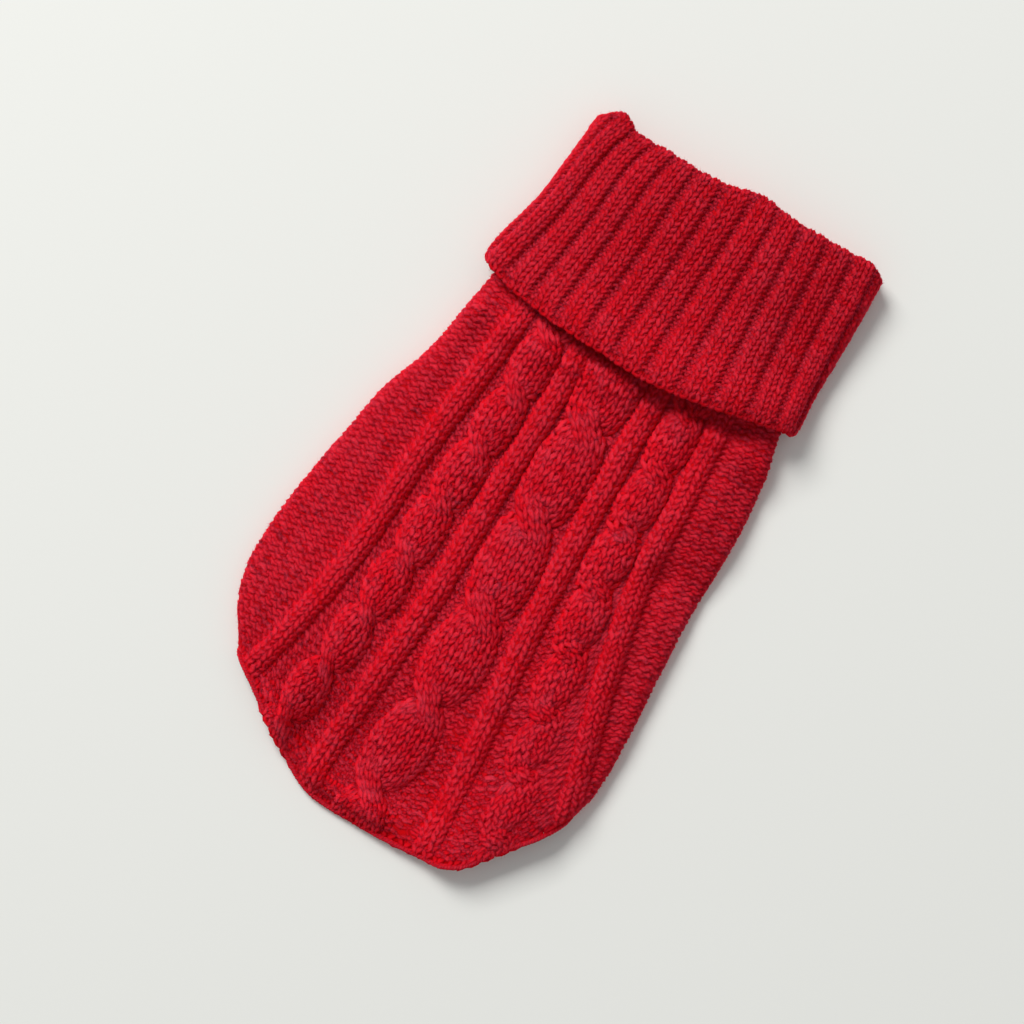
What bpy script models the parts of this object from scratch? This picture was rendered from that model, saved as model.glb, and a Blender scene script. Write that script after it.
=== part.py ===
# A small cable-knit sweater for a cat, laid flat with its back up and its collar folded down.
# X runs across the garment, Y from the hem to the collar, and Z = 0 is the table it lies on.
# Sizes and tables are in millimetres; the meshes are written in metres.
# The origin lies on the table, under the middle of the garment's bounding box.

import math

import bmesh
import bpy
import numpy as np

MM = 0.001

# Cloth
WALL = 2.2  # plain knitting, in the purl gutters
PANEL_RAISE = 0.7  # the purl side panels stand this much above the gutters
RIB_RAISE = 1.9
CABLE_RAISE = 2.9
CABLE_PINCH = 0.38  # share of that height lost where the strands cross
CABLE_LEAN = 0.35  # how much of it moves from the low strand to the high one
RIBBING = 3.4  # wall of the collar's 2x2 rib
SEAM_GAP = 0.3

# Body
NECK_Y = 82.0  # the body's neck edge, under the folded collar
UNDER_HEM_Y = -90.0  # hem of the belly and of the back at the side seams
COURSES = 66  # rows of knitting down the middle of the back
FOLD_REACH = 6.3  # how far in from the side the cloth starts to turn under
FOLD_LENGTH = 16.1  # cloth round one side fold, from the top to the underside
SIDE_CUT = 60.0  # cloth from an outer rib to its side seam, at the hem
LOFT = 2.1  # air between the panels
PRESSED_LOFT = 0.25  # share of it that is left under the collar
PRESSED_RELIEF = 0.28  # share of the ribs' and cables' height that is left there
PRESS_Y = 50.0  # the body starts to be pressed here,
PRESS_RUN = 15.0  # and is fully pressed this much nearer the collar
RISE_Y = 42.0  # the body starts to rise over the collar's rear fold here
RISE_RUN = 18.0
MIDDLE_HALF_WIDTH = 46.0  # past the belly's hem the back sinks between the turned-under sides
MIDDLE_EASE = 16.0
SINK_RUN = 40.0
HEM_AIR = 0.6  # the hem's middle lies this far above the table
LIFTED_CORNER = (64.0, -128.0)  # the hem's right corner stands off the table
LIFTED_HEIGHT = 3.6
LIFTED_SPREAD = (20.0, 22.0)
PANEL_EDGE = 1.2  # from an outer rib to the side panel's full height
SIDE_SHARES = (0.06, 0.16, 0.26, 0.34, 0.41, 0.48, 0.55, 0.66, 0.83, 1.0)
LEG_TOP_Y = 58.0
LEG_BOTTOM_Y = 18.0
LEG_HALF_WIDTH = 8.0

# Collar
COLLAR_HEIGHT = 15.0  # four layers of rib
COLLAR_MIDDLE_Y = 100.0
COLLAR_RIBS = 24
FACES_PER_RIB = 3
FRONT_FACES = 30  # faces over the flat front, of COLLAR_RIBS * FACES_PER_RIB
SIDE_FACES = 6
RIB_GROOVE = 1.0
REAR_LIFT = 4.0  # the collar's edge sits this much higher on the underside

# Side folds of the body: y, left x, right x
BODY_OUTLINE = [
    (84.0, -53.0, 77.0),
    (68.0, -54.5, 77.5),
    (50.0, -58.0, 81.0),
    (30.0, -62.5, 82.6),
    (10.0, -70.4, 82.4),
    (-15.0, -76.0, 81.4),
    (-40.0, -81.2, 82.0),
    (-62.0, -84.2, 82.9),
    (-80.0, -84.2, 83.0),
    (-94.0, -81.0, 82.2),
    (-106.0, -75.0, 79.6),
    (-130.0, -67.0, 74.0),
    (-150.0, -62.0, 70.0),
]

# Side seams on the underside: y, left x, right x
SEAMS = [
    (84.0, -30.0, 55.0),
    (40.0, -38.0, 52.0),
    (-10.0, -43.0, 50.0),
    (-60.0, -47.0, 48.0),
    (-95.0, -43.0, 45.0),
]

# Raised columns of the cable panel: kind, half width, first crossing and rows between crossings,
# and the centre line's x at each of BAND_Y
BAND_Y = (64.0, 30.0, -10.0, -50.0, -90.0, -130.0)
BANDS = [
    ("rib", 4.6, 0, 0, (-35.6, -39.6, -45.0, -48.2, -55.8, -68.0)),
    ("cable", 7.9, 15.5, 8, (-21.4, -23.0, -26.8, -30.4, -35.2, -43.0)),
    ("rib", 4.6, 0, 0, (-8.2, -8.8, -11.2, -12.4, -16.4, -20.6)),
    ("cable", 11.5, 14.0, 12, (8.2, 8.2, 7.4, 7.8, 6.6, 2.4)),
    ("rib", 4.6, 0, 0, (27.0, 26.2, 26.2, 27.4, 30.4, 32.4)),
    ("cable", 7.9, 15.5, 8, (41.0, 41.0, 41.4, 45.6, 51.0, 56.0)),
    ("rib", 4.6, 0, 0, (53.8, 55.0, 56.4, 63.0, 72.2, 80.0)),
]

# The back's hem, unrolled: distance across the cloth, y
HEM = [
    (-132.0, -90.0),
    (-98.0, -101.0),
    (-68.0, -116.5),
    (-43.0, -133.0),
    (-20.6, -146.6),
    (2.4, -149.4),
    (32.4, -148.8),
    (56.0, -138.0),
    (80.0, -108.0),
    (110.0, -95.0),
    (144.0, -90.0),
]

# Sides of the folded collar: y, left x, right x
COLLAR_OUTLINE = [
    (148.0, -47.6, 84.0),
    (122.0, -50.6, 83.8),
    (104.0, -53.4, 83.4),
    (85.0, -59.0, 82.6),
    (60.0, -64.0, 84.4),
]

# The collar's folded top edge and its lower edge: x, y
COLLAR_TOP = [
    (-48.0, 145.6),
    (-38.0, 149.4),
    (-20.0, 146.8),
    (12.0, 146.8),
    (26.0, 149.0),
    (40.0, 147.6),
    (84.0, 145.4),
]
COLLAR_EDGE = [
    (-62.0, 75.5),
    (-46.0, 69.0),
    (-28.0, 65.0),
    (0.0, 62.4),
    (20.0, 61.2),
    (44.0, 63.8),
    (66.0, 68.2),
    (84.0, 70.8),
]


def ease(t):
    """Smooth step from 0 to 1."""
    t = np.clip(t, 0.0, 1.0)
    return t * t * (3.0 - 2.0 * t)


def curve(rows, at, column=1):
    """Value of a table's column at a place along its first column, on a smooth curve through the rows."""
    rows = sorted(rows)
    x = np.array([row[0] for row in rows])
    y = np.array([row[column] for row in rows])
    slope = np.gradient(y, x)
    at = np.clip(at, x[0], x[-1])
    i = np.clip(np.searchsorted(x, at) - 1, 0, len(x) - 2)
    step = x[i + 1] - x[i]
    t = (at - x[i]) / step
    return (
        y[i] * (1 + 2 * t) * (1 - t) ** 2
        + slope[i] * step * t * (1 - t) ** 2
        + y[i + 1] * t * t * (3 - 2 * t)
        - slope[i + 1] * step * t * t * (1 - t)
    )


def band_centre(band, y):
    return curve(list(zip(BAND_Y, band[4])), y)


def material(name, colour, roughness):
    made = bpy.data.materials.new(name)
    made.use_nodes = True
    shader = made.node_tree.nodes["Principled BSDF"]
    shader.inputs["Base Color"].default_value = (*colour, 1.0)
    shader.inputs["Roughness"].default_value = roughness
    shader.inputs["Metallic"].default_value = 0.0
    return made


def solid(name, points, faces, made):
    """One closed mesh object from points in millimetres, with its faces turned outwards."""
    mesh = bpy.data.meshes.new(name)
    mesh.from_pydata((points * MM).tolist(), [], faces)
    shape = bmesh.new()
    shape.from_mesh(mesh)
    bmesh.ops.recalc_face_normals(shape, faces=shape.faces)
    shape.to_mesh(mesh)
    shape.free()
    mesh.shade_smooth()
    mesh.materials.append(made)
    piece = bpy.data.objects.new(name, mesh)
    bpy.context.scene.collection.objects.link(piece)
    return piece


def panel(name, outer, inner, made):
    """A sheet of cloth: two grids of points, rows by columns, joined round their rims."""
    rows, columns = outer.shape[:2]
    number = np.arange(rows * columns).reshape(rows, columns)
    below = number + rows * columns
    faces = []
    for grid, turn in ((number, 1), (below, -1)):
        quads = np.stack([grid[:-1, :-1], grid[:-1, 1:], grid[1:, 1:], grid[1:, :-1]], axis=-1)
        faces += quads.reshape(-1, 4)[:, ::turn].tolist()
    rim = np.concatenate([number[0, :-1], number[:-1, -1], number[-1, :0:-1], number[:0:-1, 0]])
    after = np.roll(rim, -1)
    offset = rows * columns
    faces += np.stack([rim, rim + offset, after + offset, after], axis=-1).tolist()
    points = np.concatenate([outer.reshape(-1, 3), inner.reshape(-1, 3)])
    return solid(name, points, faces, made)


def rest_height(y):
    """Underside of the body: over the collar's rear fold it is lifted, then it lies on the table."""
    return (RIBBING + SEAM_GAP) * ease((y - RISE_Y) / RISE_RUN)


def pressed(share_left, y):
    """Share of a height that is left where the collar lies on the body, and 1 away from it."""
    return 1.0 - (1.0 - share_left) * ease((y - PRESS_Y) / PRESS_RUN)


def loft(x, y):
    """Air between the panels: less under the collar and past the belly's hem, more at the lifted corner."""
    middle = ease((MIDDLE_HALF_WIDTH - abs(x)) / MIDDLE_EASE)
    past_belly = ease((UNDER_HEM_Y - y) / SINK_RUN)
    from_corner = ((x - LIFTED_CORNER[0]) / LIFTED_SPREAD[0]) ** 2
    from_corner = from_corner + ((y - LIFTED_CORNER[1]) / LIFTED_SPREAD[1]) ** 2
    sunk = (LOFT + WALL - HEM_AIR) * middle * past_belly
    return LOFT * pressed(PRESSED_LOFT, y) - sunk + LIFTED_HEIGHT * np.exp(-from_corner)


def body_section(across, y, raised, depth):
    """Point of the back's cloth: across is its distance along the cloth from x = 0, depth 0 is the outer
    face and 1 the inner one. Past each side the cloth runs round a half ellipse on to the underside."""
    left, right = curve(BODY_OUTLINE, y, 1), curve(BODY_OUTLINE, y, 2)
    side = np.where(across < (left + right) / 2, -1.0, 1.0)
    edge = np.where(side < 0, left, right)
    turn = edge - side * FOLD_REACH
    past = side * (across - turn)
    angle = np.clip(past / FOLD_LENGTH, 0.0, 1.0) * math.pi
    under = np.maximum(past - FOLD_LENGTH, 0.0)
    on_top = np.where(past < 0, across, turn)
    low_out = rest_height(y)
    low_in = low_out + WALL
    high_in = low_in + loft(on_top, y)
    high_out = high_in + WALL + raised
    high = high_out + (high_in - high_out) * depth
    low = low_out + (low_in - low_out) * depth
    x = on_top + side * ((FOLD_REACH - WALL * depth) * np.sin(angle) - under)
    z = (high + low) / 2 + (high - low) / 2 * np.cos(angle)
    return np.stack([x, y, z], axis=-1)


def leg_gap(y):
    """Half the width of the gap left in a side seam for a front leg."""
    along = np.clip((y - LEG_BOTTOM_Y) / (LEG_TOP_Y - LEG_BOTTOM_Y), 0.0, 1.0)
    return LEG_HALF_WIDTH * np.sin(math.pi * along) ** 2


def seam_across(side, y):
    """Where a side seam lies, as a distance along the back's cloth."""
    column = 1 if side < 0 else 2
    turn = curve(BODY_OUTLINE, y, column) - side * FOLD_REACH
    seam = curve(SEAMS, y, column) + side * leg_gap(y)
    return turn + side * (FOLD_LENGTH + side * (turn - seam))


def column_points(across_at, hem_at, raise_at, rows):
    """Outer and inner points down one column of the back, from the neck to the hem."""
    hem_y = curve(HEM, hem_at)
    share = np.linspace(0.0, 1.0, rows)
    y = NECK_Y + (hem_y - NECK_Y) * share
    raised = raise_at(share) * pressed(PRESSED_RELIEF, y)
    across = across_at(y)
    return body_section(across, y, raised, 0.0), body_section(across, y, raised, 1.0)


def cable_raise(offset, first, repeat):
    """Height of a cable: a rounded rope, pinched at each crossing, where its high side changes over."""

    def height(share):
        turn = (share * COURSES - first) / repeat
        swell = 1.0 - CABLE_PINCH + CABLE_PINCH * np.abs(np.sin(math.pi * turn))
        lean = CABLE_LEAN * np.cos(math.pi * (turn % 1.0)) * -offset
        return CABLE_RAISE * (1.0 - offset * offset) * (swell + lean)

    return height


def back_columns():
    """Columns of the back from seam to seam: where each lies, where it meets the hem, and its height."""
    columns = []
    first, last = BANDS[0], BANDS[-1]

    def side_columns(band, side):
        """From the outer rib round the fold to the seam."""
        found = []
        half = band[1] + PANEL_EDGE
        hem_edge = band[4][-1] + side * half
        for share in SIDE_SHARES:

            def across_at(y, share=share):
                near = band_centre(band, y) + side * half
                return near + (seam_across(side, y) - near) * share

            def raise_at(down, share=share):
                return np.full_like(down, PANEL_RAISE * float(ease((0.5 - share) / 0.3)))

            found.append((across_at, hem_edge + side * SIDE_CUT * share, raise_at))
        return found

    columns += side_columns(first, -1.0)[::-1]
    for band in BANDS:
        kind, half, start, repeat = band[:4]
        offsets = (-1.0, -0.5, 0.5, 1.0) if kind == "rib" else (-1.0, -0.55, 0.0, 0.55, 1.0)
        for offset in offsets:

            def across_at(y, band=band, offset=offset):
                return band_centre(band, y) + offset * band[1]

            if kind == "cable":
                raise_at = cable_raise(offset, start, repeat)
            else:
                top = RIB_RAISE if abs(offset) < 1.0 else 0.0
                raise_at = lambda down, top=top: np.full_like(down, top)
            columns.append((across_at, band[4][-1] + offset * half, raise_at))
    columns += side_columns(last, 1.0)
    return columns


def make_back(made, rows=24):
    pairs = [column_points(*column, rows) for column in back_columns()]
    outer = np.stack([pair[0] for pair in pairs], axis=1)
    inner = np.stack([pair[1] for pair in pairs], axis=1)
    return panel("back", outer, inner, made)


def make_belly(made, rows=24, columns=11):
    """The underside panel, flat between the side seams."""
    share, across = np.meshgrid(np.linspace(0.0, 1.0, rows), np.linspace(0.0, 1.0, columns), indexing="ij")
    y = NECK_Y + (UNDER_HEM_Y - NECK_Y) * share
    left = curve(SEAMS, y, 1) + leg_gap(y) + SEAM_GAP
    right = curve(SEAMS, y, 2) - leg_gap(y) - SEAM_GAP
    x = left + (right - left) * across
    z = rest_height(y)
    outer = np.stack([x, y, z], axis=-1)
    inner = np.stack([x, y, z + WALL], axis=-1)
    return panel("belly", outer, inner, made)


def collar_ring(depth, y, valley_depth):
    """Points round the flattened collar at one depth in from its outer face: flat front, round side,
    flat rear, round side. y has one value for each place round the collar."""
    radius = COLLAR_HEIGHT / 2
    count = COLLAR_RIBS * FACES_PER_RIB
    place = np.arange(count)
    left = curve(COLLAR_OUTLINE, y, 1) + radius
    right = curve(COLLAR_OUTLINE, y, 2) - radius
    half = FRONT_FACES + SIDE_FACES
    on_rear = place >= half
    step = np.where(on_rear, place - half, place)
    flat = np.clip(step / FRONT_FACES, 0.0, 1.0)
    turn = np.clip((step - FRONT_FACES) / SIDE_FACES, 0.0, 1.0) * math.pi
    angle = np.where(on_rear, math.pi, 0.0) + turn
    centre = np.where(on_rear, right + (left - right) * flat, left + (right - left) * flat)
    front_weight = (1.0 + np.cos(angle)) / 2
    groove = np.where(place % FACES_PER_RIB == 1, valley_depth, 0.0) * front_weight
    reach = radius - depth - groove
    return np.stack([centre + reach * np.sin(angle), y, radius + reach * np.cos(angle)], axis=-1)


def make_collar(made, levels=5, fold_steps=4):
    """The folded tube: outer fold, round top edge, inner layer down to the neck seam, and back up and
    down between them."""
    count = COLLAR_RIBS * FACES_PER_RIB
    middle = collar_ring(0.0, np.full(count, COLLAR_MIDDLE_Y), 0.0)
    x = middle[:, 0]
    rear_weight = 1.0 - np.clip(middle[:, 2] / COLLAR_HEIGHT, 0.0, 1.0)
    top = curve(COLLAR_TOP, x)
    edge = curve(COLLAR_EDGE, x) + REAR_LIFT * rear_weight
    fold = RIBBING + SEAM_GAP / 2
    shoulder = top - fold
    neck = np.full(count, NECK_Y + SEAM_GAP)
    rings = []
    for share in np.linspace(0.0, 1.0, levels):
        rings.append(collar_ring(0.0, edge + (shoulder - edge) * share, RIB_GROOVE))
    for step in range(1, fold_steps):
        angle = math.pi * step / fold_steps
        groove = RIB_GROOVE * (1.0 + math.cos(angle)) / 2
        rings.append(collar_ring(fold * (1.0 - math.cos(angle)), shoulder + fold * math.sin(angle), groove))
    for share in np.linspace(0.0, 1.0, levels - 1):
        rings.append(collar_ring(2 * fold, shoulder + (neck - shoulder) * share, 0.0))
    for share in np.linspace(1.0, 0.0, levels - 1):
        rings.append(collar_ring(RIBBING + SEAM_GAP, shoulder + (neck - shoulder) * share, 0.0))
    for share in np.linspace(1.0, 0.0, levels):
        rings.append(collar_ring(RIBBING, edge + (shoulder - edge) * share, 0.0))
    grid = np.stack(rings)
    number = np.arange(grid.shape[0] * count).reshape(grid.shape[0], count)
    ahead = np.roll(number, -1, axis=0)
    faces = np.stack([number, np.roll(number, -1, axis=1), np.roll(ahead, -1, axis=1), ahead], axis=-1)
    return solid("collar", grid.reshape(-1, 3), faces.reshape(-1, 4).tolist(), made)


def main():
    for old in list(bpy.data.objects):
        bpy.data.objects.remove(old)
    make_back(material("red_cable_knit", (0.46, 0.011, 0.025), 0.9))
    make_belly(material("red_plain_knit", (0.44, 0.010, 0.024), 0.9))
    make_collar(material("red_rib_knit", (0.45, 0.011, 0.025), 0.9))


main()
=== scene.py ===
import math

import bpy
import numpy as np
from mathutils import Matrix, Vector


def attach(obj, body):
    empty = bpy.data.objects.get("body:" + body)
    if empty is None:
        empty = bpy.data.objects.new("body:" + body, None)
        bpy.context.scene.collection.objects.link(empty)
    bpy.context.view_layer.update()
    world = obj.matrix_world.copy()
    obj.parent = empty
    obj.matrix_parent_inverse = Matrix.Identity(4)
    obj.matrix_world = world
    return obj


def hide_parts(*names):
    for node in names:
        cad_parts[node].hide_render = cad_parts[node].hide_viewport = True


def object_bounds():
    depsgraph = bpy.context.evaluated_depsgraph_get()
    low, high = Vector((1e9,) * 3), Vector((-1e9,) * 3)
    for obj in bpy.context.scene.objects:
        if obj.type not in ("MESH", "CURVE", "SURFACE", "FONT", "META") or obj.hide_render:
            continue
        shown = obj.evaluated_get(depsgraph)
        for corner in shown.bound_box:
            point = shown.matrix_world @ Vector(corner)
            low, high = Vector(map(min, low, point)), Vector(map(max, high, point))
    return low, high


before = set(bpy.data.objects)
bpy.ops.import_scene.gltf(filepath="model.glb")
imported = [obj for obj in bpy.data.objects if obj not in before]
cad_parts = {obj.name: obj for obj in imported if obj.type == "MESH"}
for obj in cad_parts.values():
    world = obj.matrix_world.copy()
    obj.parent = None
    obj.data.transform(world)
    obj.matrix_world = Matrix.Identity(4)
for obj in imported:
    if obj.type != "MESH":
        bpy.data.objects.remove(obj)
cadLow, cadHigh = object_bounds()
print("frame:", ", ".join(sorted(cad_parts)))

mm = 0.001  # the tables are in millimetres, as the pattern is
rollStop = 0.97  # how much of its quarter round a rolled edge sinks through


def ease(t):
    # 3t^2 - 2t^3, held at 0 and 1 outside
    t = np.clip(t, 0.0, 1.0)
    return t * t * (3.0 - 2.0 * t)


def rise(at, start, width):
    # eased from 0 at the start to 1 a width further on, or a width back where it is negative
    return ease((at - start) / width)


def bell(at, width):
    # a Gaussian hump at 0
    return np.exp(-((at / width) ** 2))


def unit(a):
    return a / np.maximum(np.linalg.norm(a, axis=-1, keepdims=True), 1e-9)


def curve(rows, at, column=1):
    # a cubic through a table's rows, whose slope at each row is that of its neighbours
    rows = sorted(rows)
    x = np.array([row[0] for row in rows], float)
    y = np.array([row[column] for row in rows], float)
    slope = np.gradient(y, x)
    at = np.clip(at, x[0], x[-1])
    i = np.clip(np.searchsorted(x, at) - 1, 0, len(x) - 2)
    step = x[i + 1] - x[i]
    t = (at - x[i]) / step
    start = y[i] * (1 + 2 * t) * (1 - t) ** 2 + slope[i] * step * t * (1 - t) ** 2
    end = y[i + 1] * t * t * (3 - 2 * t) - slope[i + 1] * step * t * t * (1 - t)
    return start + end


def troughs(rows, x, y):
    # soft creases: each is a Gaussian groove along a straight line that fades at both ends, or a
    # ridge where its depth is negative
    total = 0.0
    for cx, cy, turn, length, width, depth in rows:
        c, s = math.cos(math.radians(turn)), math.sin(math.radians(turn))
        along = (x - cx) * c + (y - cy) * s
        across = (y - cy) * c - (x - cx) * s
        total = total - depth * np.exp(-((across / width) ** 2) - (2 * along / length) ** 4)
    return total


# The garment's cut, as its solids have it. A pair is where something starts, and over what width.
cut = {
    "wall": 2.2,
    "neckY": 82.0,
    "underHemY": -90.0,  # the belly's hem
    "courses": 66,
    "bellyCourses": 55,
    "foldReach": 6.3,  # how far a side fold stands out past its turn
    "foldLength": 16.1,  # the cloth round it
    "foldFade": (-2.0, 9.0),  # the relief flattens out towards it
    "sideCut": 60.0,  # from the outer ribs to the seams, at the hem
    "loft": 2.1,  # air between the panels
    "pressedLoft": 0.25,  # the share of it under the collar
    "pressFrom": (50.0, 15.0),
    "crown": 4.6,  # the air holds the middle this much higher than the sides
    "crownLeft": (-92.0, 50.0),
    "crownRight": (86.0, -24.0),
    "crownHem": (-132.0, 60.0),
    "cornerLift": 4.6,  # the hem's right corner stands off the surface
    "cornerLeft": (-6.0, 60.0),
    "cornerRight": (87.0, -24.0),
    "cornerTop": (-84.0, -34.0),
    "sinkSides": (46.0, -16.0),  # past the belly's hem the back sinks on to the surface
    "sinkPast": (-90.0, -40.0),
    "sinkShort": 0.6,
    "leastAir": 0.7,  # no crease presses the panels closer than this
    "leastSoft": 1.0,
    "leastPast": (-60.0, -20.0),  # but the hem may sink on to the surface
    "leastDrop": 8.0,
    "curlRise": 4.4,  # a soft roll along the hem, on the left
    "curlIn": 6.2,
    "curlWidth": 3.4,
    "curlLeft": (-62.0, 20.0),
    "curlRight": (24.0, -16.0),
    "rollFrom": 63.2,  # the course from which the hem rolls in, and over how many
    "rollCourses": 3.3,
    "flatPast": 10.0,  # this far past the belly's hem the yarn stays above the surface
    "yarnIn": 0.9,  # from a seam to the last of the yarn
    "clothIn": 0.6,  # and to the cloth behind it
    "rest": 3.7,  # the collar's rear fold lifts the body this much
    "restFrom": (42.0, 18.0),
    "legTop": 58.0,
    "legBottom": 18.0,
    "legHalf": 8.0,
}
# side folds: y, left x, right x
bodyOutline = [
    (84, -53.0, 77.0), (68, -54.5, 77.5), (50, -58.0, 81.0), (30, -62.5, 82.6),
    (10, -70.4, 82.4), (-15, -76.0, 81.4), (-40, -81.2, 82.0), (-62, -84.2, 82.9),
    (-80, -84.2, 83.0), (-94, -80.2, 82.0), (-106, -73.4, 78.4), (-130, -64.0, 72.0),
    (-150, -60.0, 68.0),
]
# side seams, on the underside: y, left x, right x
seamLines = [
    (84, -30.0, 55.0), (40, -38.0, 52.0), (-10, -43.0, 50.0), (-60, -47.0, 48.0),
    (-95, -43.0, 45.0),
]
# the hem, unrolled: distance across the cloth, y
hemLine = [
    (-132.0, -90.0), (-98.0, -100.0), (-68.0, -114.2), (-43.0, -132.0), (-20.6, -145.2),
    (2.4, -147.6), (32.4, -146.6), (42.0, -145.4), (49.0, -141.4), (57.0, -132.6),
    (68.0, -121.0), (80.0, -107.0), (110.0, -95.0), (144.0, -90.0),
]
# soft creases in the body, seen from above: x, y, turn, length, width, depth
bodyCreases = [
    (-66.0, -52.0, 62.0, 46.0, 7.0, 0.5),
    (66.0, -34.0, 96.0, 60.0, 6.0, 0.7),
    (70.0, 16.0, 84.0, 44.0, 5.0, 0.6),
    (-50.0, 44.0, 74.0, 30.0, 5.0, 0.4),
    (40.0, -106.0, 38.0, 46.0, 8.0, 0.5),
    (-22.0, -118.0, -32.0, 40.0, 6.0, 0.4),
    (12.0, 46.0, 8.0, 50.0, 5.0, 0.4),
    (27.5, 57.5, 0.0, 15.0, 5.0, 4.6),
    (46.0, 59.0, 0.0, 12.0, 4.0, 2.4),
    (60.0, 61.0, 0.0, 12.0, 4.0, 2.4),
    (44.0, 48.0, 0.0, 34.0, 8.0, 1.6),
    (8.0, 50.0, 4.0, 50.0, 7.0, 1.0),
    (73.0, -6.0, 0.0, 34.0, 10.0, 2.8),
    (63.0, -3.0, 0.0, 12.0, 6.0, 1.6),
    (72.0, 24.0, 0.0, 32.0, 12.0, -1.8),
    (86.0, 0.0, 90.0, 120.0, 16.0, 1.8),
]
# the cable panel's seven bands, left to right: half width, and x of the middle at each bandY. A
# cable has its first crossing's course, the courses from one crossing to the next, its wales, and
# the share of its height that it loses towards the hem
bandY = (64, 30, -10, -50, -90, -130)
smallCable = {"half": 7.9, "first": 15.5, "repeat": 8, "wales": 4}
wideCable = {"half": 11.5, "first": 14.0, "repeat": 12, "wales": 6}
bands = [
    {"half": 4.6, "at": (-35.6, -39.6, -45.0, -48.2, -55.8, -68.0)},
    {**smallCable, "at": (-21.4, -23.0, -26.8, -30.4, -35.2, -43.0), "fade": 0.0},
    {"half": 4.6, "at": (-8.2, -8.8, -11.2, -12.4, -16.4, -20.6)},
    {**wideCable, "at": (8.2, 8.2, 7.4, 7.8, 6.6, 2.4), "fade": 0.0},
    {"half": 4.6, "at": (27.0, 26.2, 26.2, 27.4, 30.4, 32.4)},
    {**smallCable, "at": (41.0, 41.0, 41.4, 45.6, 51.0, 56.0), "fade": 0.5},
    {"half": 4.6, "at": (53.8, 55.0, 56.4, 63.0, 72.2, 80.0)},
]
cableBands = (1, 3, 5)


def bandCentre(band, y):
    return curve(list(zip(bandY, bands[band]["at"])), y)


def restHeight(y):
    # how far the collar's rear fold lifts the underside
    return cut["rest"] * rise(y, *cut["restFrom"])


def pressed(shareLeft, y):
    # 1 on the open body, falling to the share that is left under the collar
    return 1.0 - (1.0 - shareLeft) * rise(y, *cut["pressFrom"])


def loft(x, y):
    # air between the panels = (even loft + crown) pressed under the collar - sinking past the
    # belly's hem + lifted corner + roll along the hem
    crown = cut["crown"] * rise(x, *cut["crownLeft"]) * rise(x, *cut["crownRight"])
    crown = crown * rise(y, *cut["crownHem"])
    sink = cut["loft"] + cut["wall"] - cut["sinkShort"]
    sink = sink * rise(abs(x), *cut["sinkSides"]) * rise(y, *cut["sinkPast"])
    corner = rise(x, *cut["cornerLeft"]) * rise(x, *cut["cornerRight"]) * rise(y, *cut["cornerTop"])
    curl = bell(y - curve(hemLine, x) - cut["curlIn"], cut["curlWidth"])
    curl = curl * rise(x, *cut["curlLeft"]) * rise(x, *cut["curlRight"])
    even = (cut["loft"] + crown) * pressed(cut["pressedLoft"], y)
    return even - sink + cut["cornerLift"] * corner + cut["curlRise"] * curl


def airBetween(x, y):
    # loft and creases, held softly above the least air:
    # least + (spare + sqrt(spare^2 + soft^2)) / 2
    least = cut["leastAir"] - cut["leastDrop"] * rise(y, *cut["leastPast"])
    spare = loft(x, y) + troughs(bodyCreases, x, y) - least
    return least + (spare + np.sqrt(spare ** 2 + cut["leastSoft"] ** 2)) / 2


def bodyPoint(across, y, height):
    # flat above, half an ellipse round each side, flat beneath; height is from the inner face
    left, right = curve(bodyOutline, y, 1), curve(bodyOutline, y, 2)
    side = np.where(across < (left + right) / 2, -1.0, 1.0)
    turn = np.where(side < 0, left, right) - side * cut["foldReach"]
    past = side * (across - turn)
    angle = np.clip(past / cut["foldLength"], 0.0, 1.0) * math.pi
    under = np.maximum(past - cut["foldLength"], 0.0)
    onTop = np.where(past < 0, across, turn)
    lowIn = restHeight(y) + cut["wall"]
    highIn = lowIn + airBetween(onTop, y)
    high, low = highIn + height, lowIn - height
    x = onTop + side * ((cut["foldReach"] - cut["wall"] + height) * np.sin(angle) - under)
    z = (high + low) / 2 + (high - low) / 2 * np.cos(angle)
    return np.stack([x, y, z], axis=-1)


def foldFade(across, y):
    # 1 on the flat top, 0 from the middle of the side fold on
    left, right = curve(bodyOutline, y, 1), curve(bodyOutline, y, 2)
    return rise(np.minimum(across - left, right - across), *cut["foldFade"])


def legGap(y):
    # each seam stands open round a leg by half a sine wave, squared
    along = np.clip((y - cut["legBottom"]) / (cut["legTop"] - cut["legBottom"]), 0.0, 1.0)
    return cut["legHalf"] * np.sin(math.pi * along) ** 2


def seamAcross(side, y):
    # a side seam as a distance along the cloth: to the turn, round the fold and in underneath
    column = 1 if side < 0 else 2
    turn = curve(bodyOutline, y, column) - side * cut["foldReach"]
    seam = curve(seamLines, y, column) + side * legGap(y)
    return turn + side * (cut["foldLength"] + side * (turn - seam))


def acrossAt(knots, u, y):
    # straight between knots; a knot is a wale number, a band, and an offset in its half widths
    edges = [bandCentre(band, y) + offset * bands[band]["half"] for _, band, offset in knots]
    across = edges[0]
    for k in range(len(knots) - 1):
        share = np.clip((u - knots[k][0]) / (knots[k + 1][0] - knots[k][0]), 0.0, 1.0)
        across = across + (edges[k + 1] - edges[k]) * share
    return across


def hemAcross(knots, u):
    # where a wale meets the hem
    return acrossAt(knots, u, np.full(u.shape, float(bandY[-1])))


def courseY(atHem, v):
    # the courses are evenly spaced from the neck down to the hem
    return cut["neckY"] + (curve(hemLine, atHem) - cut["neckY"]) * v / cut["courses"]


def hemRoll(v):
    # the last courses sink in a quarter round to the edge
    past = np.clip((v - cut["rollFrom"]) / cut["rollCourses"], 0.0, rollStop)
    return np.sqrt(1.0 - past * past)


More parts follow.
